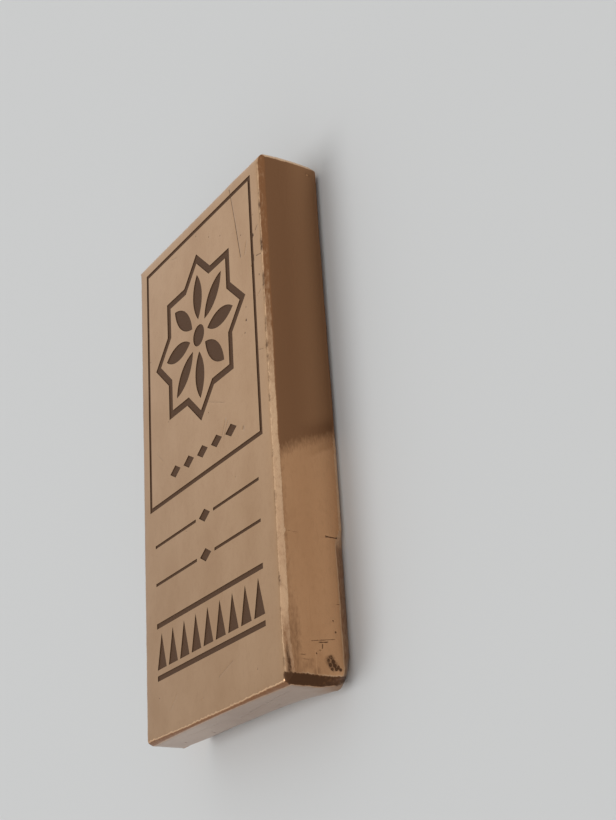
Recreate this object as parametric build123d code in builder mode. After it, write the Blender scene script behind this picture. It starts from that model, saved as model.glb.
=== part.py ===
import os
from math import sqrt

from build123d import *

os.makedirs("parts", exist_ok=True)

# A flat bar of solid copper, lying on its back with the engraved face up.
# X runs across the bar, Y from its foot to its head and Z up through it. Sizes are in millimetres.
# The origin is on the floor, under the middle of the bar.

# Blank
bar_length = 120.0
bar_width = 60.0
bar_thickness = 15.8

# Filed edges
face_bevel = 1.1  # all round the engraved face
back_bevel_in = 2.0  # at the sides and the head, how far in under the back
back_bevel_up = 2.5  # and how far up the side
foot_bevel_in = 2.9  # the same at the foot
foot_bevel_up = 6.0
head_corner_across = 1.1  # the short upright edges at the head
head_corner_along = 1.1
foot_corner_across = 1.1  # the short upright edges at the foot
foot_corner_along = 2.3

# Border line round the upper half of the face
engraving_depth = 0.2
border_line = 1.05
border_left_margin = 4.3  # from the sides and ends of the bar to the outside of the line
border_right_margin = 4.5
border_head_margin = 4.0
border_foot_margin = 53.0

# Star in the border: two squares turned against each other, with petals round a hub
star_clearance = 3.2  # from its points to the inside of the border line
star_line = 1.8
petal_count = 8
petal_width = 4.2
petal_tip_gap = 3.0  # to the star's inner point
petal_root_gap = 1.5  # to the hub
hub_radius = 2.6

# Lozenges, in a row below the star and singly in the dividers
lozenge_length = 5.0
lozenge_width = 3.0
lozenge_gap = 1.4
row_count = 5
row_clearance = 3.4  # from the row to the inside of the border line

# Band of teeth between two rules, near the foot
band_foot_margin = 13.0  # from the foot of the bar to the lower rule
band_side_margin = 2.4  # from the sides of the border to the ends of the band
band_rule = 1.2
band_gap = 1.3  # between a rule and the teeth
tooth_height = 8.0
tooth_count = 9
tooth_gap = 1.0

# Dividers, spread evenly between the band and the border
divider_line = 0.7
divider_count = 2

half_length = bar_length / 2
half_width = bar_width / 2

border_left = -half_width + border_left_margin
border_right = half_width - border_right_margin
border_foot = -half_length + border_foot_margin
border_head = half_length - border_head_margin
border_width = border_right - border_left
border_length = border_head - border_foot
border_x = (border_left + border_right) / 2
border_y = (border_foot + border_head) / 2

# The star fills what the row of lozenges leaves of the border.
row_y = border_foot + border_line + row_clearance + lozenge_width / 2
star_room_foot = row_y + lozenge_width / 2
star_room_head = border_head - border_line
star_room = min(border_width - 2 * border_line, star_room_head - star_room_foot)
star_y = (star_room_foot + star_room_head) / 2
star_radius = star_room / 2 - star_clearance
star_hole_radius = star_radius - star_line * sqrt(2)

# A petal is what two equal circles share.
petal_root = hub_radius + petal_root_gap
petal_tip = star_hole_radius - petal_tip_gap
petal_length = petal_tip - petal_root
petal_arc = (petal_length**2 + petal_width**2) / (4 * petal_width)
petal_offset = petal_arc - petal_width / 2

band_length = border_width - 2 * band_side_margin
band_foot = -half_length + band_foot_margin
teeth_foot = band_foot + band_rule + band_gap
teeth_head = teeth_foot + tooth_height
band_head = teeth_head + band_gap + band_rule
tooth_width = (band_length - (tooth_count - 1) * tooth_gap) / tooth_count

divider_pitch = (border_foot - band_head) / (divider_count + 1)
divider_rule = (band_length - lozenge_length) / 2 - lozenge_gap


def face_plane(x, y):
    return Plane((x, y, bar_thickness))


def lozenge():
    along, across = lozenge_length / 2, lozenge_width / 2
    Polygon((along, 0), (0, across), (-along, 0), (0, -across))


def engrave():
    extrude(amount=-engraving_depth, mode=Mode.SUBTRACT)


with BuildSketch() as petal:
    with Locations((0, petal_offset)):
        Circle(petal_arc)
    with Locations((0, -petal_offset)):
        Circle(petal_arc, mode=Mode.INTERSECT)

with BuildPart() as ingot:
    # Blank with its long edges filed
    with BuildSketch() as blank:
        Rectangle(bar_width, bar_length)
    extrude(amount=bar_thickness)
    chamfer(ingot.faces().sort_by(Axis.Z)[-1].edges(), face_bevel)
    back = ingot.faces().sort_by(Axis.Z)[0]
    chamfer(back.edges().sort_by(Axis.Y)[0], foot_bevel_in, foot_bevel_up, reference=back)
    back = ingot.faces().sort_by(Axis.Z)[0]
    chamfer(back.edges().sort_by(Axis.Y)[1:], back_bevel_in, back_bevel_up, reference=back)

    # Upright corners, filed last, more along the bar at the foot than at the head
    with BuildSketch() as corner_cuts:
        for side in (-1, 1):
            corner_x = side * half_width
            for end, across, along in (
                (1, head_corner_across, head_corner_along),
                (-1, foot_corner_across, foot_corner_along),
            ):
                corner_y = end * half_length
                Polygon(
                    (corner_x, corner_y),
                    (corner_x - side * across, corner_y),
                    (corner_x, corner_y - end * along),
                )
    extrude(amount=bar_thickness, mode=Mode.SUBTRACT)

    # Border line
    with BuildSketch(face_plane(border_x, border_y)) as border:
        Rectangle(border_width, border_length)
        offset(amount=-border_line, kind=Kind.INTERSECTION, mode=Mode.SUBTRACT)
    engrave()

    # Star with its petals and hub
    with BuildSketch(face_plane(border_x, star_y)) as star:
        for turn in (0, 45):
            RegularPolygon(star_radius, 4, rotation=turn)
        for turn in (0, 45):
            RegularPolygon(star_hole_radius, 4, rotation=turn, mode=Mode.SUBTRACT)
        with PolarLocations((petal_root + petal_tip) / 2, petal_count):
            add(petal.sketch)
        Circle(hub_radius)
    engrave()

    # Row of lozenges below the star
    with BuildSketch(face_plane(border_x, row_y)) as row:
        with GridLocations(lozenge_length + lozenge_gap, 1, row_count, 1):
            lozenge()
    engrave()

    # Dividers: a thin rule broken by a lozenge
    with BuildSketch(face_plane(border_x, (band_head + border_foot) / 2)) as dividers:
        with GridLocations(1, divider_pitch, 1, divider_count):
            lozenge()
        with GridLocations(band_length - divider_rule, divider_pitch, 2, divider_count):
            Rectangle(divider_rule, divider_line)
    engrave()

    # Band of teeth between two rules
    with BuildSketch(face_plane(border_x, (teeth_foot + teeth_head) / 2)) as band:
        with GridLocations(1, tooth_height + 2 * band_gap + band_rule, 1, 2):
            Rectangle(band_length, band_rule)
        with GridLocations(tooth_width + tooth_gap, 1, tooth_count, 1):
            Polygon(
                (-tooth_width / 2, -tooth_height / 2),
                (tooth_width / 2, -tooth_height / 2),
                (0, tooth_height / 2),
            )
    engrave()

ingot.part.label = "ingot"
export_step(ingot.part, "parts/ingot.step")

print(f"volume {ingot.part.volume / 1000:.3f} cm3")
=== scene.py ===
import math

import bmesh
import bpy
from mathutils import Matrix, Vector, noise
from mathutils.bvhtree import BVHTree
from mathutils.geometry import delaunay_2d_cdt
from mathutils.kdtree import KDTree


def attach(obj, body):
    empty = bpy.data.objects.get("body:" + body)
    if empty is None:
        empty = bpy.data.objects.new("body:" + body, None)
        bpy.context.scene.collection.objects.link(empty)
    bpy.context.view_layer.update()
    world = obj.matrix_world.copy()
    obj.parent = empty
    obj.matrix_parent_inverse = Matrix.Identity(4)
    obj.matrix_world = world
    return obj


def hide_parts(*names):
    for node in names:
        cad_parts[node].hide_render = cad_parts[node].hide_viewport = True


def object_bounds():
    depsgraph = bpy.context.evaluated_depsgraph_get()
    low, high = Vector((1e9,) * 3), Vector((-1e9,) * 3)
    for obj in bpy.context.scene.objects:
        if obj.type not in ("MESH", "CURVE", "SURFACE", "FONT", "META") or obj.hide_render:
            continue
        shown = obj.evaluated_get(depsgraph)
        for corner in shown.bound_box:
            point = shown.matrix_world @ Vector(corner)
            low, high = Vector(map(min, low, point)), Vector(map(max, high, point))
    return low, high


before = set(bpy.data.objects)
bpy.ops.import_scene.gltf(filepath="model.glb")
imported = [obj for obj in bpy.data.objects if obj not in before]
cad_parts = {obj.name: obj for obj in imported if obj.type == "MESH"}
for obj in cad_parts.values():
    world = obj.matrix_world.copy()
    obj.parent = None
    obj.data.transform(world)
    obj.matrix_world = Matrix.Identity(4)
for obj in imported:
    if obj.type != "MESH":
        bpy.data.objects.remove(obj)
cadLow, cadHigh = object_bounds()
mm = 0.001
scene = bpy.context.scene
scene.view_settings.view_transform = "Standard"
print("frame loaded:", sorted(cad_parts))

# The bar's own planes, from the frame, in millimetres
halfWidth = cadHigh.x / mm
halfLength = cadHigh.y / mm
faceHeight = cadHigh.z / mm
hair = 0.001  # mm, how near counts as on a plane
touch = 0.01  # mm, the same where points have been worked out
speck = 0.0001  # mm, too small to matter
square = 0.99  # how far the normal of a flat reaches along an axis that the flat lies square to
bend = math.radians(2)  # surfaces that meet at less are one flat

# Camera
camera = {
    "eye": (260.8, -126.8, 161.0),  # mm
    "target": (31.15, -2.5, 8.0),
    "roll": -78.4,  # degrees, stands the bar upright in the picture
    "lens": 64.4,
    "nearest": 0.01,  # m
}


def addCamera(look):
    lens = bpy.data.cameras.new("camera")
    lens.lens = look["lens"]
    lens.clip_start = look["nearest"]
    holder = bpy.data.objects.new("camera", lens)
    scene.collection.objects.link(holder)
    eye, target = Vector(look["eye"]) * mm, Vector(look["target"]) * mm
    aim = (target - eye).to_track_quat("-Z", "Y").to_matrix().to_4x4()
    turn = Matrix.Rotation(math.radians(look["roll"]), 4, "Z")
    holder.matrix_world = Matrix.Translation(eye) @ aim @ turn
    scene.camera = holder


addCamera(camera)
print("camera placed")


# Ingot
ingot = {
    "edgeStep": 0.4,  # mm between points along every edge
    "flatStep": 0.9,  # mm between points on the wide flats
    "bevelStep": 0.38,
    "edgeRoom": 0.45,  # mm kept free of points beside an outer edge
    "smallRoom": 0.25,  # the same beside an engraved edge
    "stray": 0.3,  # how far the points inside a flat stray, in steps
    "smallFlat": 1.0,  # mm2, flats below this keep their own faces
    "deepestPocket": 0.5,  # mm, how far below the face the engraving can reach
    "steep": 0.85,  # how far a steep bevel faces along the bar
    "thinnest": 0.002,  # mm, triangles flatter than this are left out
    "markStep": 0.3,  # mm between points along a scratch, and kept free of other points round marks
    "markRows": (-2.2, -1.2, -0.5, 0.0, 0.5, 1.2, 2.2),  # along a scratch, in its half widths
    "pitRings": ((0.35, 6), (0.7, 9), (1.0, 12), (1.5, 12)),  # round a pit, in its radii, and their points
    "markRoom": 0.08,  # mm kept free of a mark's points beside an edge
    "wave": 0.012,  # mm, the slow waviness of hand polish
    "waveLength": 17.0,
    "ripple": 0.0015,  # mm, a quicker waviness on top
    "rippleLength": 3.5,
    "least": 0.002,  # mm that every point of the face and sides lies inside the bar's planes
    "pillow": 0.03,  # mm, how far the polish rounds the flats off towards their edges
    "pillowReach": 2.5,  # and how far in that begins
    "endWave": 2.0,  # how many times as wavy the ends are
    "filing": 0.13,  # mm, how far the edges of the bevels stray
    "filingWaves": ((1.0, 0.09, 7.3, 1), (0.6, 0.45, 3.1, 5), (0.35, 1.7, 5.7, 9)),  # see wander()
    "filedBulge": 0.05,  # mm, how full the bevels are in the middle
    "filedVary": (0.8, 0.07),  # how far that varies, and how quickly per mm
    "filedRipple": (0.03, 1.3),  # mm of ripples on it, and how quick they are
    "headCrown": 0.5,  # mm, how far the head end's middle stands out past its top and bottom
    "crownReach": 4.0,  # and how far in from the head that begins
    "headCorner": 0.5,  # mm that the head's upright corners stand out across the bar
    "headCornerReach": 4.0,  # and how far in from the sides that begins
    "headCornerPast": 0.1,  # and how far past their cut it goes along the bar
    "easedAngle": 0.3,  # radians, edges sharper than this are eased
    "easedReach": 3.4,  # mm in from the bar's outline
    "rounding": 2,  # how many times the edges are eased
    "cornerRounding": 6,  # the same at the worn corner of the foot
    "wornAt": (0.5, 0.5, 2.5),  # mm in from the right side, in from the foot and up to its middle
    "wornReach": 3.5,  # how far round it the edges are eased more
    "wornRadius": 4.5,  # mm, its rounding in plan
    "wornFrom": (7.5, 3.0),  # mm up, where the rounding begins and where it is full
    "wornUnder": (2.2, 2.0),  # mm up, below which it goes deeper, and by how much
    "sharpAngle": 28.0,  # degrees
}

# How far the bevels differ in mm from their even widths in the frame. The pairs named From are the places
# on the bar where something begins and where it is full.
bevelling = {
    "footFaceIn": (-0.65, -0.15),  # the face's bevel at the foot runs out: in its middle, at its corners
    "footFaceDown": (-0.70, 0.70),  # and down the end
    "footFaceCurve": 2.2,  # how late from the middle it widens
    "footBackUp": 1.0,  # the back's bevel at the foot stands higher
    "footBackLean": -0.03,  # mm per mm to the right
    "footBackWorn": (0.9, 5.0),  # what its right corner loses, in and up
    "footBackCurves": (4.0, 3.7),  # and how late
    "rightHead": (0.25, 0.20),  # the face's right bevel is wider and deeper at the head
    "rightHeadFrom": (25, 58),
    "rightFlare": 0.9,  # it flares down the side at the foot
    "rightFlareFrom": (-50, -59),
    "rightGroove": 0.16,  # with a groove along it there
    "rightGrooveFrom": (-51, -55),
    "rightBackIn": (-0.40, 1.10),  # the back's right bevel, at the foot and at the head
    "rightBackInFrom": (-32, 50),
    "rightBackUp": (0.30, -1.40),  # how far up the side, from the foot to the long nick and past it
    "rightBackUpFrom": (-31, -27),
    "rightBackBulge": 0.12,  # how much fuller it is in the middle
}

# Scratches and nicks: where, from, to, half width and depth in mm, and how dark they have gone. Below 0
# they shine. On the face the places are x, y. On the sides they are y, z, and on the foot end x, z.
scratches = [
    ("face", (16.3, 57.3), (18.2, 47.6), 0.08, 0.04, 0.9),
    ("face", (18.2, 47.6), (19.9, 38.0), 0.10, 0.05, 1.0),
    ("face", (26.8, 34.6), (28.3, 34.3), 0.08, 0.05, 0.7),
    ("face", (26.7, 41.1), (27.5, 41.8), 0.08, 0.05, 0.7),
    ("face", (8.9, -0.7), (10.4, 2.2), 0.06, 0.03, 0.5),
    ("face", (9.7, -1.3), (11.3, 1.3), 0.05, 0.025, 0.5),
    ("face", (2.3, 9.9), (10.2, 6.5), 0.05, 0.02, 0.4),
    ("face", (22.6, 40.2), (21.6, 37.6), 0.06, 0.03, 0.5),
    ("face", (26.4, 24.9), (27.6, 25.8), 0.06, 0.03, 0.55),
    ("face", (25.9, 12.2), (27.4, 11.7), 0.06, 0.03, 0.5),
    ("face", (-12.4, 53.9), (-9.8, 53.1), 0.05, 0.02, 0.4),
    ("face", (-21.6, 6.2), (-18.9, 3.8), 0.05, 0.02, 0.4),
    ("face", (4.4, -52.3), (9.8, -50.6), 0.05, 0.02, 0.45),
    ("face", (-17.2, -54.1), (-14.6, -51.7), 0.05, 0.02, 0.4),
    ("side", (-51.2, 9.8), (-50.45, 4.5), 0.07, 0.02, 0.65),
    ("side", (-51.35, 8.1), (-51.2, 6.4), 0.12, 0.02, 0.75),
    ("side", (-51.7, 7.35), (-52.5, 7.4), 0.12, 0.02, 0.7),
    ("side", (-53.2, 9.1), (-57.6, 9.0), 0.07, 0.02, -0.5),
    ("side", (-54.1, 12.2), (-54.1, 11.6), 0.12, 0.03, 0.5),
    ("side", (-54.9, 11.9), (-55.0, 10.9), 0.12, 0.02, 0.35),
    ("side", (-29.3, 4.6), (-29.35, 1.6), 0.10, 0.05, 0.95),
    ("side", (-29.2, 13.6), (-29.3, 11.9), 0.07, 0.02, 0.35),
    ("side", (-43.2, 3.2), (-43.2, 2.6), 0.06, 0.04, 0.6),
    ("side", (-48.6, 13.2), (-53.0, 13.0), 0.07, 0.02, 0.35),
    ("left", (41.0, 9.6), (33.5, 9.9), 0.07, 0.02, 0.45),
    ("left", (-12.3, 5.1), (-12.9, 9.2), 0.07, 0.02, 0.45),
    ("left", (-38.6, 11.8), (-44.9, 11.2), 0.06, 0.02, 0.40),
    ("left", (-50.2, 6.2), (-50.9, 4.1), 0.09, 0.03, 0.65),
    ("left", (17.4, 12.6), (16.8, 11.3), 0.08, 0.03, 0.60),
    ("foot", (26.0, 12.4), (6.5, 10.6), 0.14, 0.01, 0.30),
    ("foot", (21.0, 10.8), (2.0, 9.9), 0.12, 0.01, 0.26),
    ("foot", (-4.0, 11.6), (-19.5, 12.5), 0.12, 0.01, 0.28),
    ("foot", (-11.5, 9.2), (-12.3, 8.0), 0.08, 0.02, 0.55),
]

# Pits and dings: where, middle, radius and depth in mm, and how dark they have gone
pits = [
    ("face", (25.3, 51.3), 0.22, 0.05, 0.7),
    ("face", (21.1, 21.5), 0.28, 0.08, 0.9),
    ("face", (20.4, 18.7), 0.18, 0.05, 0.7),
    ("face", (11.3, 26.9), 0.18, 0.05, 0.6),
    ("face", (17.8, -2.6), 0.50, 0.10, 0.3),
    ("face", (6.1, 50.4), 0.15, 0.04, 0.7),
    ("face", (11.3, 47.9), 0.15, 0.04, 0.6),
    ("face", (20.4, 43.1), 0.15, 0.04, 0.7),
    ("face", (21.3, 24.6), 0.16, 0.04, 0.6),
    ("face", (18.6, 26.4), 0.14, 0.04, 0.6),
    ("face", (8.6, 35.9), 0.14, 0.03, 0.5),
    ("face", (-6.5, 36.9), 0.15, 0.04, 0.6),
    ("face", (0.1, 53.8), 0.15, 0.04, 0.6),
    ("side", (-46.7, 4.5), 0.14, 0.05, 0.8),
    ("side", (-49.0, 4.1), 0.18, 0.05, 0.8),
    ("side", (-53.6, 8.9), 0.17, 0.05, 0.8),
    ("side", (-52.9, 8.0), 0.16, 0.04, 0.5),
    ("side", (-54.8, 5.6), 1.20, 0.03, 0.44),
    ("side", (-55.7, 5.1), 1.20, 0.03, 0.48),
    ("side", (-54.1, 5.6), 0.48, 0.09, 0.72),
    ("side", (-54.8, 6.1), 0.44, 0.09, 0.70),
    ("side", (-54.9, 5.1), 0.48, 0.10, 0.85),
    ("side", (-55.6, 5.8), 0.46, 0.10, 0.76),
    ("side", (-55.7, 4.8), 0.48, 0.10, 0.88),
    ("side", (-56.4, 5.4), 0.40, 0.08, 0.74),
    ("side", (-56.4, 4.5), 0.40, 0.07, 0.80),
    ("side", (-56.0, 4.0), 0.40, 0.06, 0.85),
    ("side", (-56.4, 3.5), 0.34, 0.06, 0.90),
    ("side", (57.0, 3.4), 0.28, 0.06, -0.9),
    ("face", (24.4, 33.2), 0.15, 0.04, 0.7),
    ("face", (27.4, 29.6), 0.17, 0.04, 0.7),
    ("face", (26.0, 45.3), 0.14, 0.04, 0.6),
    ("face", (-24.2, 31.5), 0.15, 0.04, 0.6),
    ("face", (-15.8, 12.4), 0.14, 0.04, 0.6),
    ("face", (3.3, 6.9), 0.14, 0.04, 0.6),
    ("face", (13.7, -12.2), 0.15, 0.04, 0.6),
    ("face", (-8.6, -16.9), 0.14, 0.04, 0.6),
    ("face", (-22.8, -50.8), 0.16, 0.04, 0.7),
    ("face", (19.2, -54.6), 0.15, 0.04, 0.6),
    ("face", (-3.1, -55.2), 0.14, 0.04, 0.6),
    ("left", (22.4, 7.9), 0.16, 0.05, 0.7),
    ("left", (3.1, 11.2), 0.15, 0.04, 0.6),
    ("left", (-29.7, 5.3), 0.18, 0.05, 0.7),
    ("left", (-54.6, 9.4), 0.30, 0.06, 0.6),
    ("foot", (-22.6, 9.6), 0.20, 0.05, 0.6),
    ("foot", (14.8, 8.4), 0.16, 0.04, 0.6),
]

# The section of a mark: a groove or a hole with a low burr beside it
marking = {
    "shine": 2.0,  # how bright a mark that shines is
    "burr": 0.20,  # height of a scratch's burr, as a share of its depth
    "burrAt": 1.9,  # half widths from its middle
    "pitRim": 0.15,  # the same round a pit
    "pitRimAt": 1.35,  # radii from its middle
    "pitFall": 1.15,  # how early in its radius a pit falls off
    "pitStain": 1.1,  # radii that it is dark over
    "wide": 0.3,  # mm, pits with a larger radius are darkest round the rim
    "widePaler": 0.4,  # and this much paler in their middle
}

# The plane of the marks on each surface: its point straight out from the middle of the bar's back, and the
# two directions that the places count along
markPlanes = {
    "face": (Vector((0, 0, faceHeight)), Vector((1, 0, 0)), Vector((0, 1, 0))),
    "side": (Vector((halfWidth, 0, 0)), Vector((0, 1, 0)), Vector((0, 0, 1))),
    "left": (Vector((-halfWidth, 0, 0)), Vector((0, 1, 0)), Vector((0, 0, 1))),
    "foot": (Vector((0, -halfLength, 0)), Vector((1, 0, 0)), Vector((0, 0, 1))),
}


def onPlane(plane, place):
    start, along, across = markPlanes[plane]
    return start + along * place[0] + across * place[1]


def planeNormal(plane):
    return markPlanes[plane][0].normalized()


def isTrueEdge(edge):
    return edge.calc_face_angle(0) > bend


def readCadMesh(name):
    # welded copy of the CAD node in millimetres, each flat of it numbered in its faces' material index
    bm = bmesh.new()
    bm.from_mesh(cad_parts[name].data)
    bmesh.ops.scale(bm, vec=(1 / mm,) * 3, verts=bm.verts)
    bmesh.ops.remove_doubles(bm, verts=bm.verts, dist=hair)
    bmesh.ops.dissolve_degenerate(bm, edges=bm.edges, dist=speck)
    bm.normal_update()
    bm.faces.ensure_lookup_table()
    seen, count = set(), 0
    for first in bm.faces:
        if first.index in seen:
            continue
        seen.add(first.index)
        waiting = [first]
        while waiting:
            face = waiting.pop()
            face.material_index = count
            for edge in face.edges:
                if isTrueEdge(edge):
                    continue
                for other in edge.link_faces:
                    if other.index not in seen:
                        seen.add(other.index)
                        waiting.append(other)
        count += 1
    return bm, count


def divideEdges(bm, step):
    byCuts = {}
    for edge in bm.edges:
        if isTrueEdge(edge):
            cuts = math.ceil(edge.calc_length() / step) - 1
            byCuts.setdefault(cuts, []).append(edge)
    for cuts, edges in sorted(byCuts.items()):
        if cuts > 0:
            bmesh.ops.subdivide_edges(bm, edges=edges, cuts=cuts)
    bm.normal_update()


# The finishes, in the order of the bar's material slots
polished, engraved, filed, brushed, sawn = range(5)


def flatFacts(group, look):
    # which way one flat of the bar faces, how large it is, how finely it is meshed, and its finish
    normal = group[0].normal.copy()
    heights = [vert.co.z for face in group for vert in face.verts]
    isFace = normal.z > square and max(heights) > faceHeight - touch
    deepest = look["deepestPocket"]
    inPocket = min(heights) > faceHeight - deepest and not isFace
    straight = max(abs(each) for each in normal) > square
    if inPocket:
        finish = engraved
    elif abs(normal.z) > square:
        finish = polished
    elif abs(normal.x) > square:
        finish = brushed
    elif normal.y > square or normal.y < -look["steep"]:
        finish = sawn  # the two ends, and the foot's steep back bevel
    else:
        finish = filed
    return {
        "normal": normal,
        "number": group[0].material_index,
        "area": sum(face.calc_area() for face in group),
        "straight": straight,
        "step": look["flatStep"] if straight else look["bevelStep"],
        "finish": finish,
    }


def markPoints(normal, look):
    # rows of points along the scratches and rings of points round the pits of the plane with this normal
    points = []
    for plane, start, end, halfMark, depth, dark in scratches:
        if planeNormal(plane).dot(normal) < square:
            continue
        a, b = onPlane(plane, start), onPlane(plane, end)
        across = normal.cross((b - a).normalized())
        count = max(2, round((b - a).length / look["markStep"]))
        for i in range(count + 1):
            middle = a.lerp(b, i / count)
            points += [middle + across * row * halfMark for row in look["markRows"]]
    for plane, place, radius, depth, dark in pits:
        if planeNormal(plane).dot(normal) < square:
            continue
        middle = onPlane(plane, place)
        start, along, across = markPlanes[plane]
        points.append(middle)
        for ring, count in look["pitRings"]:
            for i in range(count):
                turn = 2 * math.pi * i / count
                reach = ring * radius
                points.append(middle + along * reach * math.cos(turn) + across * reach * math.sin(turn))
    return points


def latticePoints(corners, along, across, step, look):
    # staggered rows of points over a flat, a little astray so that no grid shows
    us = [p.dot(along) for p in corners]
    vs = [p.dot(across) for p in corners]
    rows = max(1, math.ceil((max(vs) - min(vs)) / (step * math.sqrt(3) / 2)))
    columns = max(1, math.ceil((max(us) - min(us)) / step))
    stray = look["stray"] * step
    points = []
    for row in range(1, rows):
        v = min(vs) + (max(vs) - min(vs)) * row / rows
        for column in range(columns + 1):
            u = min(us) + (column + 0.5 * (row % 2)) * step
            aside = stray * noise.noise(Vector((u, v, step)))
            onward = stray * noise.noise(Vector((v, u, step + 5)))
            points.append((u + aside, v + onward))
    return points


def flatBorder(group, number):
    # the points round a flat and its holes, and the edges between them
    border, edges, order = [], [], {}
    for face in group:
        for edge in face.edges:
            if all(other.material_index == number for other in edge.link_faces):
                continue
            for vert in edge.verts:
                if vert not in order:
                    order[vert] = len(border)
                    border.append(vert)
            edges.append((order[edge.verts[0]], order[edge.verts[1]]))
    return border, edges


def pointTree(points):
    tree = KDTree(len(points) + 1)
    for i, p in enumerate(points):
        tree.insert(p, i)
    tree.balance()
    return tree


def isEngravedRim(vert, number):
    return any(face.material_index != number and abs(face.normal.z) < 1 - square
               for face in vert.link_faces)


def remeshFlat(group, facts, inside, made, out, look):
    # new triangles for one flat: its border as it is, and evenly spread points inside it
    normal, number = facts["normal"], facts["number"]
    border, edges = flatBorder(group, number)
    corners = [vert.co for vert in border]
    along = Vector((0, 1, 0)) if abs(normal.z) > square else Vector((0, 0, 1)).cross(normal).normalized()
    across = normal.cross(along)
    origin = normal * corners[0].dot(normal)
    crowd = pointTree(corners)
    marks = [p for p in markPoints(normal, look) if abs((p - corners[0]).dot(normal)) < touch]
    marked = pointTree(marks)

    points = [p for p in marks if inside(p, facts) and crowd.find(p)[2] > look["markRoom"]]
    outerRoom = look["edgeRoom"] if facts["straight"] else look["bevelStep"] / 2
    for u, v in latticePoints(corners, along, across, facts["step"], look):
        p = origin + along * u + across * v
        index, distance = crowd.find(p)[1:]
        byEngraving = normal.z > square and isEngravedRim(border[index], number)
        if distance < (look["smallRoom"] if byEngraving else outerRoom):
            continue
        if marks and marked.find(p)[2] < look["markStep"]:
            continue
        if inside(p, facts):
            points.append(p)

    flat = [Vector((p.dot(along), p.dot(across))) for p in corners + points]
    found = delaunay_2d_cdt(flat, edges, [], 0, speck, True)
    places, triangles, cameFrom = found[0], found[2], found[3]
    fresh = {}

    def vertFor(index):
        source = cameFrom[index][0]
        if source < len(border):
            return keep(border[source], made, out)
        if source not in fresh:
            fresh[source] = out.verts.new(points[source - len(border)])
        return fresh[source]

    for triangle in triangles:
        if any(not cameFrom[i] for i in triangle):
            continue
        a, b, c = (places[i] for i in triangle)
        longest = max((b - a).length, (c - b).length, (a - c).length)
        if abs((b - a).cross(c - a)) < look["thinnest"] * longest:
            continue  # three points in line on the border
        centre = (a + b + c) / 3
        if normal.z < square or inside(origin + along * centre.x + across * centre.y, facts):
            face = out.faces.new([vertFor(i) for i in triangle])  # all flats but the face are convex
            face.material_index = facts["finish"]


def keep(vert, made, out):
    if vert not in made:
        made[vert] = out.verts.new(vert.co)
    return made[vert]


def smooth(low, high, value):
    t = min(1, max(0, (value - low) / (high - low)))
    return t * t * (3 - 2 * t)


def blend(pair, share):
    return pair[0] + (pair[1] - pair[0]) * share


def hump(distance, sharpness=1.0):
    return math.exp(-sharpness * distance * distance)


def stronger(first, second):
    return first if abs(first) > abs(second) else second


def wearAt(co, plane):
    # how deep the scratches and pits of one plane are at a place on it, and how dark
    depth, shade = 0, 0
    for markPlane, start, end, halfMark, deep, dark in scratches:
        if markPlane != plane:
            continue
        a, b = onPlane(plane, start), onPlane(plane, end)
        reach = min(1, max(0, (co - a).dot(b - a) / (b - a).length_squared))
        gap = (co - a.lerp(b, reach)).length / halfMark
        if gap < 5:  # past that a scratch has no depth
            depth += deep * (hump(gap) - marking["burr"] * hump(gap - marking["burrAt"], 2))
            shade = stronger(shade, dark * hump(gap))
    for markPlane, place, radius, deep, dark in pits:
        if markPlane != plane:
            continue
        gap = (co - onPlane(plane, place)).length / radius
        if gap < 4:
            hole = math.exp(-((gap * marking["pitFall"]) ** 4))
            depth += deep * (hole - marking["pitRim"] * hump(gap - marking["pitRimAt"], 4))
            paler = marking["widePaler"] * hump(gap, 8) if radius > marking["wide"] else 0
            shade = stronger(shade, dark * (1 - paler) * math.exp(-((gap / marking["pitStain"]) ** 4)))
    return depth, shade


def wander(along, lane, look):
    # how far one edge of a bevel strays at a place along it; lane tells the edges apart. Each wave has its
    # share, how quick it is per mm, how far apart it has the lanes, and its own layer of the noise.
    stray = 0
    for share, quickness, apart, layer in look["filingWaves"]:
        stray += share * noise.noise(Vector((along * quickness, lane * apart, layer)))
    return look["filing"] * stray


def legsAt(co, away, facing, legs, look):
    # the widths of a bevel at a place along it: in along the flat, and along the side
    inward, up = legs
    atFoot, atRight = away.y < -0.5, away.x > 0.5
    along = co.y if abs(away.x) > 0.5 else co.x
    lane = 1 + away.x + 2 * away.y + 4 * facing
    inward += wander(along, lane, look)
    up += wander(along, lane + 20, look)
    if atFoot and facing > 0:
        outer = min(1, abs(along) / halfWidth) ** bevelling["footFaceCurve"]
        inward += blend(bevelling["footFaceIn"], outer)
        up += blend(bevelling["footFaceDown"], outer)
    if atFoot and facing < 0:
        worn = max(0, along) / halfWidth
        inwardCurve, upCurve = bevelling["footBackCurves"]
        inward -= bevelling["footBackWorn"][0] * worn**inwardCurve
        up += bevelling["footBackUp"] + bevelling["footBackLean"] * along
        up -= bevelling["footBackWorn"][1] * worn**upCurve
    if atRight and facing > 0:
        atHead = smooth(*bevelling["rightHeadFrom"], along)
        inward += bevelling["rightHead"][0] * atHead
        up += bevelling["rightHead"][1] * atHead
        up += bevelling["rightFlare"] * smooth(*bevelling["rightFlareFrom"], along)
    if atRight and facing < 0:
        inward += blend(bevelling["rightBackIn"], smooth(*bevelling["rightBackInFrom"], along))
        up += blend(bevelling["rightBackUp"], smooth(*bevelling["rightBackUpFrom"], along))
    return inward, up


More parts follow.
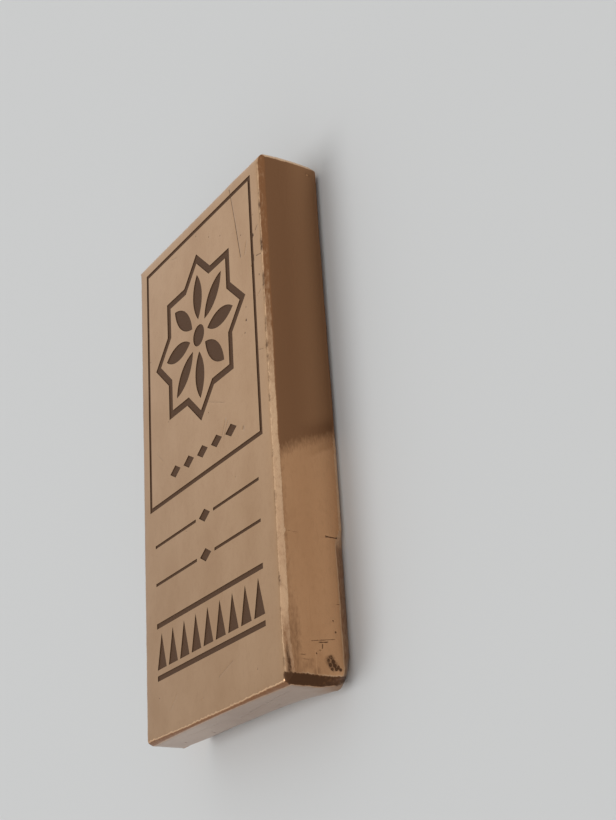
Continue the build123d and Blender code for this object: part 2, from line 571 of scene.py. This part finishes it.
def bevelShift(co, away, facing, legs, look):
    # how a point on a long bevel moves, or None for a point off it; away points out of the bar across it
    reach = halfWidth if abs(away.x) > 0.5 else halfLength
    gapIn = reach - co.dot(away)
    gapUp = faceHeight - co.z if facing > 0 else co.z
    if gapUp > legs[1] + touch or abs(gapIn / legs[0] + gapUp / legs[1] - 1) > 0.01:
        return None
    down = min(1, max(0, gapUp / legs[1]))  # 0 at the flat, 1 at the side
    inward, up = legsAt(co, away, facing, legs, look)
    shift = away * (legs[0] - inward) * (1 - down)
    shift.z += facing * (legs[1] - up) * down
    vary, quickness = look["filedVary"]
    full = look["filedBulge"] * (1 + vary * noise.noise(co * quickness + Vector((1, 2, 3))))
    ripple, quickness = look["filedRipple"]
    full += ripple * noise.noise(co * quickness + Vector((5, 5, 8)))
    if away.x > 0.5 and facing < 0:
        full += bevelling["rightBackBulge"]
    if away.x > 0.5 and facing > 0:
        full -= bevelling["rightGroove"] * smooth(*bevelling["rightGrooveFrom"], co.y)
    out = (away * legs[1] + Vector((0, 0, facing * legs[0]))).normalized()
    return shift + out * 4 * down * (1 - down) * full


def measureCuts(out):
    # how far the bevels and the upright corners reach in the frame, in mm
    onFace = [vert.co for vert in out.verts if vert.co.z > faceHeight - touch]
    onBack = [vert.co for vert in out.verts if vert.co.z < touch]
    onRight = [vert.co for vert in out.verts if vert.co.x > halfWidth - touch]
    onFoot = [vert.co for vert in out.verts if vert.co.y < touch - halfLength]
    onHead = [vert.co for vert in out.verts if vert.co.y > halfLength - touch]
    return {
        "face": halfWidth - max(co.x for co in onFace),
        "backIn": halfWidth - max(co.x for co in onBack),
        "backUp": min(co.z for co in onRight),
        "footIn": halfLength + min(co.y for co in onBack),
        "footUp": min(co.z for co in onFoot),
        "footAlong": halfLength + min(co.y for co in onRight),
        "corner": halfWidth - max(co.x for co in onHead),
    }


# How brown the copper has gone, with painted shade and painted highlights in the same number: below 0 it is
# bright, at 1 brown, above 1 brown and paler again, a painted highlight. The pairs named From are the
# places where something begins and where it is full.
browningAndPaintedLight = {
    "polished": -0.3,  # the face and the back
    # the foot end and the bevels of the face and the back at the foot are browned as a painted shade, the
    # face's bevel there also worn
    "footEnd": 0.35,
    "footFaceBevel": 0.8,
    "footBackBevel": 0.35,
    "headCorner": -0.8,  # the right one, a painted highlight
    # the worn corner of the foot, browned as a painted shade
    "footCorner": 0.9,
    "past": 0.1,  # mm that the colour of a corner or bevel goes on past its cut
    "leftSide": (0.28, 0.40),  # its mean, and how far it varies
    "otherBevels": (0.15, 0.25),  # the same
    "rightFaceBevel": (0.76, 0.55),  # towards the head, a painted shade, and towards the foot
    "rightFaceFrom": ((-25, 38), (-42, -50)),  # y of each
    "rightBackBevel": (0.6, -1.0, 1.1),  # painted shade at the foot, a painted highlight past the long nick, painted shade again past the middle
    "rightBackFrom": ((-32, -28), (-14, -4)),  # y of the second and the third
}

# The same on the right side, whose head half is painted darker brown, a painted shade, and whose back is
# painted paler, a painted highlight
sideBrowningAndPaintedLight = {
    "borderAt": (-9.0, 8.5),  # y and z of the middle of that half's border
    "borderLean": 0.6,  # mm along the bar for each mm up the side
    "borderSoft": 5.0,  # mm either way
    "rubbedAndPaintedLight": 0.5,  # how much more towards the back, where it turns paler again, a painted highlight
    "paintedLightFrom": (11, 3),  # z
    "shoulder": 0.5,  # a brown band beside the face at the foot
    "shoulderFrom": ((-30, -50), (10.5, 13.5)),  # y and z
    "brim": 0.38,  # a thin one beside the face all along
    "brimFrom": (12.4, 14.4),  # z
    "smudges": (0.35, 0.5),  # at the foot, their mean and how far they vary
    "smudgesFrom": ((-52.5, -56), (5, 9)),  # y and z
    "shine": -0.8,  # a painted highlight, bright towards the back where nothing is brown
    "shineFrom": (10, 3),  # z
    "least": 0.05,  # brown below this counts as none
}


def sideTarnishAndPaintedLightAt(co):
    # the brown of the head half is a painted shade, and the paler back a painted highlight
    look = sideBrowningAndPaintedLight
    middleY, middleZ = look["borderAt"]
    past = co.y - middleY + look["borderLean"] * (co.z - middleZ)
    brownAndShade = smooth(-look["borderSoft"], look["borderSoft"], past)
    brownAndShade *= 1 + look["rubbedAndPaintedLight"] * smooth(*look["paintedLightFrom"], co.z)
    acrossY, acrossZ = look["shoulderFrom"]
    shoulder = look["shoulder"] * smooth(*acrossY, co.y) * smooth(*acrossZ, co.z)
    brim = look["brim"] * smooth(*look["brimFrom"], co.z)
    acrossY, acrossZ = look["smudgesFrom"]
    mean, vary = look["smudges"]
    smudges = mean + vary * noise.noise(Vector((1, co.y * 0.5, co.z * 0.9)))
    smudges *= smooth(*acrossY, co.y) * smooth(*acrossZ, co.z)
    strongest = max(brownAndShade, shoulder, brim, smudges)
    if strongest > look["least"]:
        return strongest
    return look["shine"] * smooth(*look["shineFrom"], co.z) * (1 - brownAndShade)


def tarnishAndPaintedLightAt(co, cuts):
    # this also paints light and shade: painted shade on the foot end, the bevels at the foot, the worn foot
    # corner and the right bevels, and a painted highlight on the right head corner and along the right back
    # bevel
    look = browningAndPaintedLight
    fromRight, fromTop = halfWidth - co.x, faceHeight - co.z
    fromHead, fromFoot = halfLength - co.y, halfLength + co.y
    past = look["past"]
    upright = fromRight < cuts["corner"] + past and fromTop > cuts["face"] + past
    if fromTop < hair or co.z < hair:
        return look["polished"]
    if fromRight < hair:
        return sideTarnishAndPaintedLightAt(co)
    if co.x < hair - halfWidth:
        mean, vary = look["leftSide"]
        return mean + vary * noise.noise(Vector((4, co.y * 0.05, co.z * 0.15)))
    if fromFoot < hair:
        return look["footEnd"]
    if fromFoot < cuts["face"] + touch and fromTop < cuts["face"] + touch:
        return look["footFaceBevel"]
    if upright and fromHead < cuts["corner"] + past:
        return look["headCorner"]
    if upright and fromFoot < cuts["footAlong"] + touch:
        return look["footCorner"]
    if fromRight < cuts["face"] + past and fromTop < cuts["face"] + past:
        atHead, atFoot = look["rightFaceBevel"]
        headFrom, footFrom = look["rightFaceFrom"]
        return max(atHead * smooth(*headFrom, co.y), atFoot * smooth(*footFrom, co.y))
    if fromRight < cuts["backIn"] + touch and co.z < cuts["backUp"] + touch and fromHead > hair:
        atFoot, bare, back = look["rightBackBevel"]
        nickFrom, headFrom = look["rightBackFrom"]
        return atFoot + bare * smooth(*nickFrom, co.y) + back * smooth(*headFrom, co.y)
    if fromFoot < cuts["footIn"] + past:
        return look["footBackBevel"]
    mean, vary = look["otherBevels"]
    return mean + vary * noise.noise(co * 0.05 + Vector((3, 8, 1)))


# Dirt along the right bevels, darker in the groove, and painted shade in the worn corner of the foot
grimeAndPaintedShade = {
    "corner": 0.75,  # painted shade in the worn corner of the foot
    "cornerFrom": (-8.0, 12.0),  # z
    "cornerVary": 0.08,  # and how far it varies
    "edge": 0.65,  # along the face's right edge
    "edgeFrom": (0.35, 0.1),  # mm below the face
    "edgePatches": (0.25, 0.8),  # their mean and how far they vary
    "edgeHead": 0.3,  # how much more at the head
    "edgeHeadFrom": (-10, 10),  # y
    "groove": 0.8,  # darker in the groove of that bevel
    "grooveFrom": (-50, -55),  # y
    "pastBevel": 0.2,  # mm in from the bevel where it ends
    "clearUp": 0.5,  # mm over the floor that stay clean
}


def dirtAndPaintedShadeAt(co, cuts):
    look = grimeAndPaintedShade
    fromRight, fromTop, fromFoot = halfWidth - co.x, faceHeight - co.z, halfLength + co.y
    if fromRight > cuts["corner"] + look["pastBevel"] or co.z < look["clearUp"]:
        return 0
    if hair < fromFoot < cuts["footAlong"] + touch and fromRight > hair:
        # painted shade in the worn corner of the foot, darker towards the face
        deep = smooth(*look["cornerFrom"], co.z + noise.noise(co * 0.5))
        return look["corner"] * deep + look["cornerVary"] * noise.noise(co * 0.4)
    if fromTop < cuts["face"]:
        mean, vary = look["edgePatches"]
        patches = mean + vary * noise.noise(co * 0.5)
        patches += look["edgeHead"] * smooth(*look["edgeHeadFrom"], co.y)
        edge = look["edge"] * patches * smooth(*look["edgeFrom"], fromTop)
        middle = 1 - abs(2 * fromTop / cuts["face"] - 1)
        groove = look["groove"] * smooth(*look["grooveFrom"], co.y) * smooth(0.5, 1, middle)
        return max(edge, groove)
    return 0


def shapeIngot(out, look):
    cuts = measureCuts(out)
    left, right = Vector((-1, 0, 0)), Vector((1, 0, 0))
    head, foot = Vector((0, 1, 0)), Vector((0, -1, 0))
    bevels = [(away, 1, (cuts["face"], cuts["face"])) for away in (left, right, head, foot)]
    bevels += [(away, -1, (cuts["backIn"], cuts["backUp"])) for away in (left, right, head)]
    bevels.append((foot, -1, (cuts["footIn"], cuts["footUp"])))
    dirtAndPaintedShade, tarnishAndPaintedLight = out.verts.layers.float["dirtAndPaintedShade"], out.verts.layers.float["tarnishAndPaintedLight"]
    for vert in out.verts:
        co = vert.co.copy()
        for away, facing, legs in bevels:
            shift = bevelShift(co, away, facing, legs, look)
            if shift:
                vert.co += shift
        wave = look["wave"] * (1 + noise.noise(co / look["waveLength"]))
        wave += look["ripple"] * (1 + noise.noise(co / look["rippleLength"]))
        dark = dirtAndPaintedShadeAt(co, cuts)
        if co.z > faceHeight - hair:
            rim = min(halfWidth - cuts["face"] - abs(co.x), halfLength - cuts["face"] - abs(co.y))
            deep, marked = wearAt(co, "face")
            dark = stronger(dark, marked)
            vert.co.z -= max(look["least"], wave + deep + pillowAt(rim, look))
        if co.z < hair:
            vert.co.z += wave
        if abs(co.x) > halfWidth - hair:
            rim = min(co.z - cuts["backUp"], faceHeight - cuts["face"] - co.z)
            deep, marked = wearAt(co, "side" if co.x > 0 else "left")
            dark = stronger(dark, marked)
            vert.co.x -= math.copysign(max(look["least"], wave + deep + pillowAt(rim, look)), co.x)
        if abs(co.y) > halfLength - hair:
            deep, marked = wearAt(co, "foot") if co.y < 0 else (0, 0)
            dark = stronger(dark, marked)
            vert.co.y -= math.copysign(wave * look["endWave"] + deep, co.y)
        vert.co -= cornerAt(vert.co, look)
        vert.co.x += headCornerAt(co, cuts, look)
        crown = look["headCrown"] * smooth(halfLength - look["crownReach"], halfLength, co.y)
        vert.co.y -= crown * (2 * co.z / faceHeight - 1) ** 2
        # dark carries dirt and the painted shade of the worn corner, and the tarnish number painted shade
        # and painted highlights as well
        vert[dirtAndPaintedShade] = max(0, dark)
        vert[tarnishAndPaintedLight] = tarnishAndPaintedLightAt(co, cuts) + marking["shine"] * min(0, dark)


def cornerAt(co, look):
    # how far the worn right corner of the foot is rounded off in plan, most near the back
    radius = look["wornRadius"]
    low, deeper = look["wornUnder"]
    centre = radius + deeper * (1 - min(1, max(0, co.z) / low))
    off = Vector((co.x - halfWidth + centre, co.y + halfLength - centre, 0))
    if off.x <= 0 or off.y >= 0 or off.length <= radius:
        return Vector((0, 0, 0))
    return off * (1 - radius / off.length) * smooth(*look["wornFrom"], co.z)


def headCornerAt(co, cuts, look):
    # how far out the head's upright corners stand across the bar: they are filed mostly along the side
    gap, corner = halfWidth - abs(co.x), cuts["corner"]
    if co.y < halfLength - corner - look["headCornerPast"] or gap > look["headCornerReach"]:
        return 0
    share = gap / corner if gap < corner else smooth(look["headCornerReach"], corner, gap)
    return math.copysign(look["headCorner"] * share, co.x)


def pillowAt(rim, look):
    return look["pillow"] * (1 - smooth(0, look["pillowReach"], rim))


def easeEdges(out, look):
    # takes the sharpness off the outer edges, more at the worn corner
    def ease(near, times):
        edges = [edge for edge in out.edges
                 if edge.calc_face_angle(0) > look["easedAngle"] and near(edge.verts[0].co)]
        verts = {vert for edge in edges for vert in edge.verts}
        verts |= {edge.other_vert(vert) for vert in verts for edge in vert.link_edges}
        for i in range(times):
            bmesh.ops.smooth_vert(out, verts=list(verts), factor=0.5,
                                  use_axis_x=True, use_axis_y=True, use_axis_z=True)

    across, along, up = look["wornAt"]
    worn = Vector((halfWidth - across, along - halfLength, up))

    def nearOutline(co):
        return max(abs(co.x) - halfWidth, abs(co.y) - halfLength) > -look["easedReach"]

    def nearWorn(co):
        return (co - worn).length < look["wornReach"]

    ease(nearOutline, look["rounding"])
    ease(nearWorn, look["cornerRounding"])


def buildIngot(look):
    bm, count = readCadMesh("ingot")
    tree = BVHTree.FromBMesh(bm)
    flatOf = [face.material_index for face in bm.faces]
    divideEdges(bm, look["edgeStep"])
    groups = [[] for number in range(count)]
    for face in bm.faces:
        groups[face.material_index].append(face)

    def inside(p, facts):
        index = tree.ray_cast(p + facts["normal"], -facts["normal"])[2]
        return index is not None and flatOf[index] == facts["number"]

    out, made = bmesh.new(), {}
    out.verts.layers.float.new("dirtAndPaintedShade")
    out.verts.layers.float.new("tarnishAndPaintedLight")
    for group in groups:
        facts = flatFacts(group, look)
        if facts["finish"] == engraved or facts["area"] < look["smallFlat"]:
            for face in group:
                copy = out.faces.new([keep(vert, made, out) for vert in face.verts])
                copy.material_index = facts["finish"]
        else:
            remeshFlat(group, facts, inside, made, out, look)
    bmesh.ops.holes_fill(out, edges=[edge for edge in out.edges if edge.is_boundary], sides=6)
    shapeIngot(out, look)
    out.normal_update()
    easeEdges(out, look)
    out.normal_update()
    print("ingot meshed:", len(out.verts), "points,", len(out.faces), "faces")
    mesh = bpy.data.meshes.new("copperBar")
    bmesh.ops.scale(out, vec=(mm,) * 3, verts=out.verts)
    out.to_mesh(mesh)
    out.free()
    bm.free()
    for polygon in mesh.polygons:
        polygon.use_smooth = True
    mesh.set_sharp_from_angle(angle=math.radians(look["sharpAngle"]))
    piece = bpy.data.objects.new("copperBar", mesh)
    scene.collection.objects.link(piece)
    return piece


# Finishes
def newMaterial(name):
    material = bpy.data.materials.new(name)
    material.use_nodes = True
    nodes = material.node_tree.nodes
    return material, nodes, material.node_tree.links, nodes["Principled BSDF"]


def noiseNode(nodes, links, place, size, detail=3.0, roughness=0.5, turn=0.0):
    # noise with blotches of so many mm along x, y and z, turned by degrees about z
    mapping = nodes.new("ShaderNodeMapping")
    mapping.vector_type = "TEXTURE"
    mapping.inputs["Scale"].default_value = [each * mm for each in size]
    mapping.inputs["Rotation"].default_value = (0, 0, math.radians(turn))
    links.new(place.outputs["Object"], mapping.inputs["Vector"])
    texture = nodes.new("ShaderNodeTexNoise")
    texture.inputs["Scale"].default_value = 1.0
    texture.inputs["Detail"].default_value = detail
    texture.inputs["Roughness"].default_value = roughness
    links.new(mapping.outputs["Vector"], texture.inputs["Vector"])
    return texture.outputs["Fac"]


def attributeNode(nodes, name):
    node = nodes.new("ShaderNodeAttribute")
    node.attribute_name = name
    return node.outputs["Fac"]


def mathNode(nodes, links, operation, first, second):
    node = nodes.new("ShaderNodeMath")
    node.operation = operation
    for socket, value in zip(node.inputs, (first, second)):
        if isinstance(value, float):
            socket.default_value = value
        else:
            links.new(value, socket)
    return node.outputs["Value"]


def rangeNode(nodes, links, source, low, high, toLow, toHigh):
    node = nodes.new("ShaderNodeMapRange")
    node.inputs["From Min"].default_value = low
    node.inputs["From Max"].default_value = high
    node.inputs["To Min"].default_value = toLow
    node.inputs["To Max"].default_value = toHigh
    links.new(source, node.inputs["Value"])
    return node.outputs["Result"]


def mixColours(nodes, links, share, first, second):
    node = nodes.new("ShaderNodeMix")
    node.data_type = "RGBA"
    links.new(share, node.inputs["Factor"])
    for socket, value in ((node.inputs["A"], first), (node.inputs["B"], second)):
        if isinstance(value, tuple):
            socket.default_value = (*value, 1)
        else:
            links.new(value, socket)
    return node.outputs["Result"]


def bumpNode(nodes, links, height, distance, strength, previous=None):
    node = nodes.new("ShaderNodeBump")
    node.inputs["Distance"].default_value = distance * mm
    node.inputs["Strength"].default_value = strength
    links.new(height, node.inputs["Height"])
    if previous:
        links.new(previous, node.inputs["Normal"])
    return node.outputs["Normal"]


# Each finish goes from bright to dull, then to brown and rubbed. The smooth and the rough are its least and
# most roughness, the sizes are mm along x, y and z, and the hairlines have their turn in degrees first.
polish = {
    "bright": (0.542, 0.343, 0.200),
    "dull": (0.462, 0.277, 0.151),
    "smooth": 0.06,
    "rough": 0.13,
    "lineSize": (0.22, 9.0, 0.22),  # the fine lines that the polish leaves along the bar
    "lineDepth": 0.0009,  # mm
    "mottle": 0.13,
    "brownAndShade": (0.35, 0.185, 0.100),
    "rubbedAndPaintedLight": (0.525, 0.328, 0.189),
    "hairlines": ((4, (0.10, 16, 0.10)), (-38, (0.08, 9, 0.08))),
}

brushing = {
    "bright": (0.58, 0.315, 0.160),
    "dull": (0.535, 0.285, 0.142),
    "smooth": 0.13,
    "rough": 0.24,
    "lineSize": (0.30, 14.0, 0.30),
    "lineDepth": 0.0014,
    "mottle": 0.10,
    # the brown here is mostly the painted shade of the right side's head half
    "brownAndShade": (0.252, 0.122, 0.059),
    "rubbedAndPaintedLight": (0.77, 0.435, 0.227),
    "hairlines": ((0, (0.12, 20, 0.12)),),
}

# the cut ends, darker and greyer than the other finishes, a painted shade
cutting = {
    "bright": (0.46, 0.310, 0.215),
    "dull": (0.39, 0.255, 0.175),
    "smooth": 0.15,
    "rough": 0.26,
    "lineSize": (9.0, 9.0, 0.22),
    "lineDepth": 0.0016,
    "mottle": 0.12,
    "brownAndShade": (0.30, 0.180, 0.110),
    "rubbedAndPaintedLight": (0.60, 0.420, 0.300),
    "hairlines": ((0, (12, 12, 0.12)),),
}

filing = {
    "bright": (0.77, 0.505, 0.305),
    "dull": (0.70, 0.430, 0.253),
    "smooth": 0.15,
    "rough": 0.30,
    "lineSize": (0.30, 3.5, 0.30),
    "lineDepth": 0.004,
    "mottle": 0.24,
    "brownAndShade": (0.295, 0.134, 0.059),
    "rubbedAndPaintedLight": (0.84, 0.570, 0.360),
    "hairlines": ((0, (0.12, 5, 0.12)),),
}

# What all of them share
tarnishing = {
    "patches": (11, 17, 11),  # mm, of bright and dull
    "grains": (0.6, 0.6, 0.6),
    "mottle": (0.9, 1.6, 0.9),
    "edge": (0.5, 1.4, 0.5),  # mm, how ragged the brown ends
    "ragged": 0.17,
    "streaks": 0.3,  # how dull the lines of the polish are
    "hairlines": 0.3,  # how brown the hairlines are
    "hairlineRough": 0.12,
    "shined": 0.8,  # how far the bright places take the rubbed colour, rubbed metal and painted highlights alike
    "again": 0.26,  # how far the brown turns paler again above 1, a painted highlight
    "oxide": (0.100, 0.047, 0.024),  # in scratches and dings, and a painted shade in the worn corner
    "dirt": 1.3,  # how strong the dirt and the painted shade are
    "dirtRough": 0.35,
    "speckle": 0.22,  # how far the bare metal breaks through the dirt
}

engraving = {
    "grains": (0.4, 0.4, 0.4),  # mm
    "grainDepth": 0.01,
    "light": (0.108, 0.055, 0.028),
    "dark": (0.064, 0.031, 0.015),
    "roughness": 0.62,
    "specular": 0.12,
}


def copperFinish(name, look, shared):
    # bare copper, polished, brushed, filed or cut, then tarnished with painted shade and painted
    # highlights, with dirt in the marks and painted shade in the worn corner
    material, nodes, links, shader = newMaterial(name)
    place = nodes.new("ShaderNodeTexCoord")
    lines = noiseNode(nodes, links, place, look["lineSize"], 4.0, 0.6)
    patches = noiseNode(nodes, links, place, shared["patches"], 5.0, 0.55)
    grains = noiseNode(nodes, links, place, shared["grains"], 3.0, 0.6)
    mottle = noiseNode(nodes, links, place, shared["mottle"], 4.0, 0.65)
    tarnishAndPaintedLight, dirtAndPaintedShade = attributeNode(nodes, "tarnishAndPaintedLight"), attributeNode(nodes, "dirtAndPaintedShade")
    shader.inputs["Metallic"].default_value = 1.0

    tone = rangeNode(nodes, links, patches, 0.35, 0.68, 0.0, 1.0)
    colour = mixColours(nodes, links, tone, look["bright"], look["dull"])
    streaks = rangeNode(nodes, links, lines, 0.5, 0.8, 0.0, shared["streaks"])
    colour = mixColours(nodes, links, streaks, colour, look["dull"])
    fine = 0.0
    for turn, size in look["hairlines"]:
        scratched = noiseNode(nodes, links, place, size, 1.0, 0.5, turn)
        scratched = rangeNode(nodes, links, scratched, 0.7, 0.76, 0.0, 1.0)
        fine = mathNode(nodes, links, "MAXIMUM", fine, scratched)
    spots = rangeNode(nodes, links, mottle, 0.5, 0.66, 0.0, look["mottle"])

    # brown tarnish and painted shade with a ragged edge, the mottle, then dirt and painted shade
    ragged = noiseNode(nodes, links, place, shared["edge"], 5.0, 0.6)
    shift = rangeNode(nodes, links, ragged, 0.25, 0.75, -shared["ragged"], shared["ragged"])
    brownAndShade = mathNode(nodes, links, "ADD", tarnishAndPaintedLight, shift)
    brownAndShade = rangeNode(nodes, links, brownAndShade, 0.25, 0.75, 0.0, 1.0)
    brownAndShade = mathNode(nodes, links, "MAXIMUM", brownAndShade, spots)
    hairlines = mathNode(nodes, links, "MULTIPLY", fine, shared["hairlines"])
    brownAndShade = mathNode(nodes, links, "MAXIMUM", brownAndShade, hairlines)
    # paler where the tarnish number is below 0, for rubbed metal and painted highlights alike; above 1
    # paler again, a painted highlight
    rubbedAndPaintedLight = rangeNode(nodes, links, tarnishAndPaintedLight, 0.0, -1.0, 0.0, shared["shined"])
    colour = mixColours(nodes, links, rubbedAndPaintedLight, colour, look["rubbedAndPaintedLight"])
    colour = mixColours(nodes, links, brownAndShade, colour, look["brownAndShade"])
    again = rangeNode(nodes, links, tarnishAndPaintedLight, 1.0, 1.5, 0.0, shared["again"])
    colour = mixColours(nodes, links, again, colour, look["bright"])
    bare = rangeNode(nodes, links, grains, 0.45, 0.65, 0.0, shared["speckle"])
    dirt = mathNode(nodes, links, "MULTIPLY", dirtAndPaintedShade, shared["dirt"])
    dirt = mathNode(nodes, links, "SUBTRACT", dirt, bare)
    dirt = rangeNode(nodes, links, dirt, 0.1, 0.75, 0.0, 0.95)
    colour = mixColours(nodes, links, dirt, colour, shared["oxide"])
    links.new(colour, shader.inputs["Base Color"])

    # roughest where the lines and the patches are, and in dirt and hairlines
    byLines = rangeNode(nodes, links, lines, 0.3, 0.7, 0.0, 0.4)
    byPatches = rangeNode(nodes, links, patches, 0.35, 0.65, 0.0, 0.4)
    shine = mathNode(nodes, links, "ADD", byLines, byPatches)
    shine = rangeNode(nodes, links, shine, 0.0, 0.8, look["smooth"], look["rough"])
    inDirt = mathNode(nodes, links, "MULTIPLY", dirt, shared["dirtRough"])
    shine = mathNode(nodes, links, "ADD", shine, inDirt)
    inHairlines = mathNode(nodes, links, "MULTIPLY", fine, shared["hairlineRough"])
    shine = mathNode(nodes, links, "ADD", shine, inHairlines)
    links.new(shine, shader.inputs["Roughness"])
    normal = bumpNode(nodes, links, lines, look["lineDepth"], 1.0)
    normal = bumpNode(nodes, links, grains, look["lineDepth"], 1.0, normal)
    links.new(normal, shader.inputs["Normal"])
    return material


def engravedFinish(name, look):
    material, nodes, links, shader = newMaterial(name)
    place = nodes.new("ShaderNodeTexCoord")
    grains = noiseNode(nodes, links, place, look["grains"], 4.0, 0.6)
    colour = mixColours(nodes, links, grains, look["light"], look["dark"])
    links.new(colour, shader.inputs["Base Color"])
    shader.inputs["Metallic"].default_value = 0.0
    shader.inputs["Roughness"].default_value = look["roughness"]
    shader.inputs["Specular IOR Level"].default_value = look["specular"]
    links.new(bumpNode(nodes, links, grains, look["grainDepth"], 1.0), shader.inputs["Normal"])
    return material


bar = buildIngot(ingot)
bar.data.materials.append(copperFinish("polishedCopper", polish, tarnishing))
bar.data.materials.append(engravedFinish("engravedCopper", engraving))
bar.data.materials.append(copperFinish("filedCopper", filing, tarnishing))
bar.data.materials.append(copperFinish("brushedCopper", brushing, tarnishing))
bar.data.materials.append(copperFinish("cutCopper", cutting, tarnishing))
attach(bar, "root")
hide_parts("ingot")
print("ingot finished")


# Studio
studio = {
    "floorColour": (0.60, 0.607, 0.607),
    "floorRoughness": 0.85,
    "floorSize": 30.0,  # m from its middle to its edges
    "skyLow": (0.61, 0.613, 0.613),  # near the horizon
    "skyHigh": (0.66, 0.66, 0.66),  # overhead
    "window": (0.82, 0.82, 0.815),  # two wide bright parts of the sky, with no edge
    "windowsAt": ((-0.415, 0.780, 0.469), (0.45, -0.80, 0.40)),  # their directions
    "windowWide": (45.0, 15.0),  # degrees from their middle where they begin and where they are full
    "keyFrom": (-0.36, -0.24, 0.80),
    "keySpread": 36.0,  # degrees, the width of the softbox as the bar sees it
    "keyStrength": 1.0,
}


def addFloor(look):
    size = look["floorSize"]
    mesh = bpy.data.meshes.new("floor")
    corners = [(-size, -size, 0), (size, -size, 0), (size, size, 0), (-size, size, 0)]
    mesh.from_pydata(corners, [], [(0, 1, 2, 3)])
    floor = bpy.data.objects.new("floor", mesh)
    scene.collection.objects.link(floor)
    material, nodes, links, shader = newMaterial("floorPaper")
    shader.inputs["Base Color"].default_value = (*look["floorColour"], 1)
    shader.inputs["Roughness"].default_value = look["floorRoughness"]
    mesh.materials.append(material)


def addSky(look):
    world = bpy.data.worlds.new("studio")
    world.use_nodes = True
    scene.world = world
    nodes, links = world.node_tree.nodes, world.node_tree.links
    place = nodes.new("ShaderNodeTexCoord")
    parts = nodes.new("ShaderNodeSeparateXYZ")
    links.new(place.outputs["Generated"], parts.inputs["Vector"])
    height = rangeNode(nodes, links, parts.outputs["Z"], 0.0, 1.0, 0.0, 1.0)
    colour = mixColours(nodes, links, height, look["skyLow"], look["skyHigh"])
    begins, full = (math.cos(math.radians(turn)) for turn in look["windowWide"])
    for direction in look["windowsAt"]:
        near = nodes.new("ShaderNodeVectorMath")
        near.operation = "DOT_PRODUCT"
        near.inputs[1].default_value = direction
        links.new(place.outputs["Generated"], near.inputs[0])
        share = rangeNode(nodes, links, near.outputs["Value"], begins, full, 0.0, 1.0)
        share.node.interpolation_type = "SMOOTHSTEP"
        colour = mixColours(nodes, links, share, colour, look["window"])
    links.new(colour, nodes["Background"].inputs["Color"])


def addKey(look):
    # a wide soft key, the same all over the floor
    light = bpy.data.lights.new("key", "SUN")
    light.energy = look["keyStrength"]
    light.angle = math.radians(look["keySpread"])
    lamp = bpy.data.objects.new("key", light)
    scene.collection.objects.link(lamp)
    lamp.location = look["keyFrom"]
    lamp.rotation_mode = "QUATERNION"
    lamp.rotation_quaternion = (-Vector(look["keyFrom"])).to_track_quat("-Z", "Y")


addFloor(studio)
addSky(studio)
addKey(studio)
print("studio lit")
